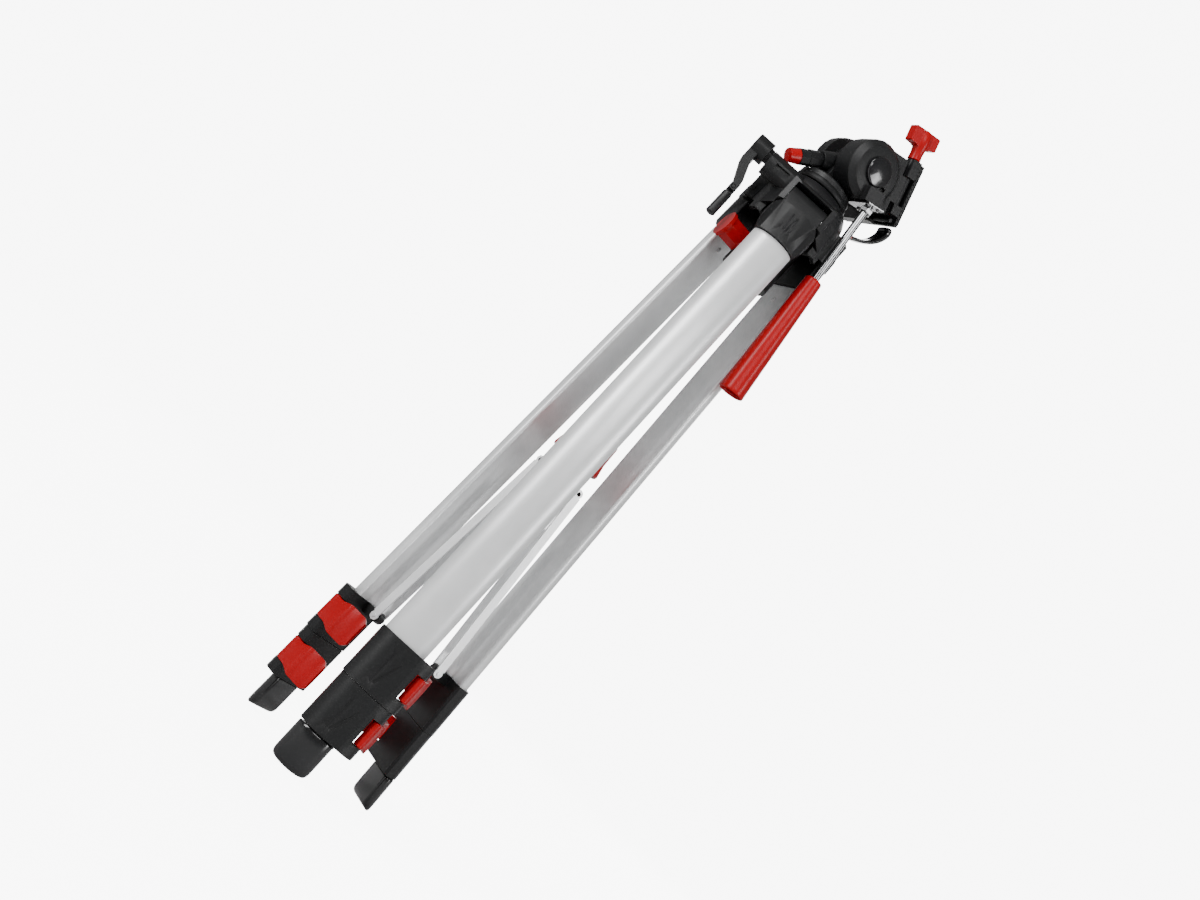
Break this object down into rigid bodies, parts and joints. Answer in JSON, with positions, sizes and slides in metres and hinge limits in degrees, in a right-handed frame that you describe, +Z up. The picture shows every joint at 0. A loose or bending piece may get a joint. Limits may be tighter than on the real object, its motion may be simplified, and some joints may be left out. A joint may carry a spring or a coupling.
{
  "type": "folding tripod with pan and tilt head",
  "caption": "Folded three-leg tripod with telescoping flat-backed alloy legs, red flip locks, geared centre column and a pan and tilt head.",
  "frame": {"origin": "on the centre column's axis, at the level of the foot tips, tripod folded and upright", "axes": "+Z up the centre column; the front leg and the crank's shaft are on the -Y side; the crank is at -X; the head's handle hangs beside the right leg at +X"},
  "size_m": [0.0954, 0.0912, 0.4915],
  "materials": {
    "alloy": "matte anodised aluminium",
    "black_plastic": "fine moulded texture",
    "gloss_black": "polished",
    "red_plastic": "glossy moulded red",
    "steel": "bright plated steel",
    "rubber": "ribbed pad"
  },
  "bodies": {
    "crown": {"crown": "black_plastic", "front_leg_hinge_pin": "steel", "right_leg_hinge_pin": "steel", "left_leg_hinge_pin": "steel"},
    "column": {"centre_column": "alloy", "column_rack": "black_plastic", "column_end_cap": "red_plastic", "pan_base": "black_plastic"},
    "crank": {"crank_shaft": "steel", "crank_arm": "black_plastic"},
    "crank_grip": {"crank_grip": "black_plastic"},
    "column_lock": {"column_lock_knob": "red_plastic"},
    "pan_head": {"pan_housing": "black_plastic", "pan_spindle": "steel"},
    "pan_lock": {"pan_lever": "black_plastic", "pan_lever_cap": "red_plastic"},
    "tilt_head": {"tilt_body": "black_plastic", "tilt_axle": "steel", "tilt_axle_cap": "gloss_black", "handle_strap": "steel"},
    "handle": {"handle_rod": "steel", "handle_grip": "red_plastic"},
    "platform": {"platform": "black_plastic"},
    "flip_knob": {"flip_lock_knob": "red_plastic"},
    "release_lever": {"release_lever": "gloss_black"},
    "plate": {"quick_plate": "black_plastic", "quick_plate_pad": "rubber"},
    "plate_screw": {"camera_screw": "steel"},
    "spreader_hub": {"spreader_hub": "black_plastic"},
    "front_leg": {"front_leg_upper_tube": "alloy", "front_leg_top_fitting": "black_plastic", "front_leg_upper_collar": "black_plastic"},
    "front_leg_upper_lever": {"front_leg_upper_lever": "red_plastic"},
    "front_leg_middle": {"front_leg_middle_tube": "alloy", "front_leg_lower_collar": "black_plastic"},
    "front_leg_lower_lever": {"front_leg_lower_lever": "red_plastic"},
    "front_leg_lower": {"front_leg_lower_tube": "alloy", "front_leg_foot": "gloss_black"},
    "front_leg_strut": {"front_leg_strut": "alloy"},
    "right_leg": {"right_leg_upper_tube": "alloy", "right_leg_top_fitting": "black_plastic", "right_leg_upper_collar": "black_plastic"},
    "right_leg_upper_lever": {"right_leg_upper_lever": "red_plastic"},
    "right_leg_middle": {"right_leg_middle_tube": "alloy", "right_leg_lower_collar": "black_plastic"},
    "right_leg_lower_lever": {"right_leg_lower_lever": "red_plastic"},
    "right_leg_lower": {"right_leg_lower_tube": "alloy", "right_leg_foot": "gloss_black"},
    "right_leg_strut": {"right_leg_strut": "alloy"},
    "left_leg": {"left_leg_upper_tube": "alloy", "left_leg_top_fitting": "black_plastic", "left_leg_upper_collar": "black_plastic"},
    "left_leg_upper_lever": {"left_leg_upper_lever": "red_plastic"},
    "left_leg_middle": {"left_leg_middle_tube": "alloy", "left_leg_lower_collar": "black_plastic"},
    "left_leg_lower_lever": {"left_leg_lower_lever": "red_plastic"},
    "left_leg_lower": {"left_leg_lower_tube": "alloy", "left_leg_foot": "gloss_black"},
    "left_leg_strut": {"left_leg_strut": "alloy"}
  },
  "joints": [
    {"name": "front_spread", "type": "hinge", "parent": "crown", "child": "front_leg", "pos_m": [0, -0.026, 0.397], "axis": [-1, 0, 0], "range_deg": [0, 18.53]},
    {"name": "front_upper_lever_flip", "type": "hinge", "parent": "front_leg", "child": "front_leg_upper_lever", "pos_m": [0.0187, -0.03889, 0.06725], "axis": [0, -0.0379, -0.9993], "range_deg": [0, 100]},
    {"name": "front_middle_slide", "type": "slide", "parent": "front_leg", "child": "front_leg_middle", "axis": [0, -0.0379, -0.9993], "range_m": [0, 0.24]},
    {"name": "front_lower_lever_flip", "type": "hinge", "parent": "front_leg_middle", "child": "front_leg_lower_lever", "pos_m": [0.0174, -0.04003, 0.03727], "axis": [0, -0.0379, -0.9993], "range_deg": [0, 100]},
    {"name": "front_lower_slide", "type": "slide", "parent": "front_leg_middle", "child": "front_leg_lower", "axis": [0, -0.0379, -0.9993], "range_m": [0, 0.245]},
    {"name": "front_strut_fold", "type": "hinge", "parent": "front_leg", "child": "front_leg_strut", "pos_m": [0, -0.0246, 0.0793], "axis": [-1, 0, 0], "range_deg": [0, 41.95]},
    {"name": "right_spread", "type": "hinge", "parent": "crown", "child": "right_leg", "pos_m": [0.02252, 0.013, 0.397], "axis": [0.5, -0.866, 0], "range_deg": [0, 18.53]},
    {"name": "right_upper_lever_flip", "type": "hinge", "parent": "right_leg", "child": "right_leg_upper_lever", "pos_m": [0.02433, 0.03564, 0.06725], "axis": [0.0328, 0.0189, -0.9993], "range_deg": [0, 100]},
    {"name": "right_middle_slide", "type": "slide", "parent": "right_leg", "child": "right_leg_middle", "axis": [0.0328, 0.0189, -0.9993], "range_m": [0, 0.24]},
    {"name": "right_lower_lever_flip", "type": "hinge", "parent": "right_leg_middle", "child": "right_leg_lower_lever", "pos_m": [0.02597, 0.03508, 0.03727], "axis": [0.0328, 0.0189, -0.9993], "range_deg": [0, 100]},
    {"name": "right_lower_slide", "type": "slide", "parent": "right_leg_middle", "child": "right_leg_lower", "axis": [0.0328, 0.0189, -0.9993], "range_m": [0, 0.245]},
    {"name": "right_strut_fold", "type": "hinge", "parent": "right_leg", "child": "right_leg_strut", "pos_m": [0.0213, 0.0123, 0.0793], "axis": [0.5, -0.866, 0], "range_deg": [0, 41.95]},
    {"name": "left_spread", "type": "hinge", "parent": "crown", "child": "left_leg", "pos_m": [-0.02252, 0.013, 0.397], "axis": [0.5, 0.866, 0], "range_deg": [0, 18.53]},
    {"name": "left_upper_lever_flip", "type": "hinge", "parent": "left_leg", "child": "left_leg_upper_lever", "pos_m": [-0.04303, 0.00325, 0.06725], "axis": [-0.0328, 0.0189, -0.9993], "range_deg": [0, 100]},
    {"name": "left_middle_slide", "type": "slide", "parent": "left_leg", "child": "left_leg_middle", "axis": [-0.0328, 0.0189, -0.9993], "range_m": [0, 0.24]},
    {"name": "left_lower_lever_flip", "type": "hinge", "parent": "left_leg_middle", "child": "left_leg_lower_lever", "pos_m": [-0.04337, 0.00495, 0.03727], "axis": [-0.0328, 0.0189, -0.9993], "range_deg": [0, 100]},
    {"name": "left_lower_slide", "type": "slide", "parent": "left_leg_middle", "child": "left_leg_lower", "axis": [-0.0328, 0.0189, -0.9993], "range_m": [0, 0.245]},
    {"name": "left_strut_fold", "type": "hinge", "parent": "left_leg", "child": "left_leg_strut", "pos_m": [-0.0213, 0.0123, 0.0793], "axis": [0.5, 0.866, 0], "range_deg": [0, 41.95]},
    {"name": "hub_slide", "type": "slide", "parent": "crown", "child": "spreader_hub", "axis": [0, 0, -1], "range_m": [0, 0.055]},
    {"name": "column_lift", "type": "slide", "parent": "crown", "child": "column", "axis": [0, 0, 1], "range_m": [0, 0.113]},
    {"name": "crank_turn", "type": "hinge", "parent": "crown", "child": "crank", "pos_m": [-0.04, -0.0165, 0.4095], "axis": [1, 0, 0], "range_deg": [0, 1445]},
    {"name": "crank_grip_fold", "type": "hinge", "parent": "crank", "child": "crank_grip", "pos_m": [-0.03737, -0.0165, 0.3814], "axis": [0, 1, 0], "range_deg": [0, 90]},
    {"name": "column_lock_turn", "type": "hinge", "parent": "crown", "child": "column_lock", "pos_m": [0, 0, 0.3663], "axis": [-0.9397, -0.342, 0], "range_deg": [0, 360]},
    {"name": "pan", "type": "hinge", "parent": "column", "child": "pan_head", "pos_m": [0, 0, 0.43], "axis": [0, 0, 1], "range_deg": [-28, 0]},
    {"name": "pan_lock_twist", "type": "hinge", "parent": "pan_head", "child": "pan_lock", "pos_m": [-0.00346, -0.002, 0.4414], "axis": [-0.6634, -0.383, -0.6428], "range_deg": [0, 180]},
    {"name": "tilt", "type": "hinge", "parent": "pan_head", "child": "tilt_head", "pos_m": [0.00433, 0.0025, 0.445], "axis": [-0.5, 0.866, 0], "range_deg": [-110, 0]},
    {"name": "handle_twist", "type": "hinge", "parent": "tilt_head", "child": "handle", "pos_m": [0.02537, -0.01388, 0.42835], "axis": [0.0958, 0.0553, -0.9939], "range_deg": [0, 360]},
    {"name": "platform_flip", "type": "hinge", "parent": "tilt_head", "child": "platform", "pos_m": [0.0325, -0.00017, 0.45358], "axis": [0.3019, 0.1743, -0.9373], "range_deg": [0, 90]},
    {"name": "flip_knob_turn", "type": "hinge", "parent": "tilt_head", "child": "flip_knob", "pos_m": [0.02525, -0.00436, 0.47607], "axis": [0.3019, 0.1743, -0.9373], "range_deg": [0, 180]},
    {"name": "release_lever_swing", "type": "hinge", "parent": "platform", "child": "release_lever", "pos_m": [0.0371, 0.00525, 0.43729], "axis": [-0.5, 0.866, 0], "range_deg": [0, 20]},
    {"name": "plate_lift", "type": "slide", "parent": "platform", "child": "plate", "axis": [0.8117, 0.4686, 0.3486], "range_m": [0, 0.02]},
    {"name": "plate_screw_turn", "type": "hinge", "parent": "plate", "child": "plate_screw", "pos_m": [0.02768, 0.01829, 0.45546], "axis": [0.8117, 0.4686, 0.3486], "range_deg": [0, 360]}
  ],
  "couplings": [
    {"joint": "front_strut_fold", "follows": "front_spread", "ratio": 2.2612},
    {"joint": "right_spread", "follows": "front_spread", "ratio": 1},
    {"joint": "right_strut_fold", "follows": "front_spread", "ratio": 2.2612},
    {"joint": "left_spread", "follows": "front_spread", "ratio": 1},
    {"joint": "left_strut_fold", "follows": "front_spread", "ratio": 2.2612},
    {"joint": "hub_slide", "follows": "front_spread", "m_per_rad": 0.16975},
    {"joint": "crank_turn", "follows": "column_lift", "rad_per_m": 222.22}
  ]
}
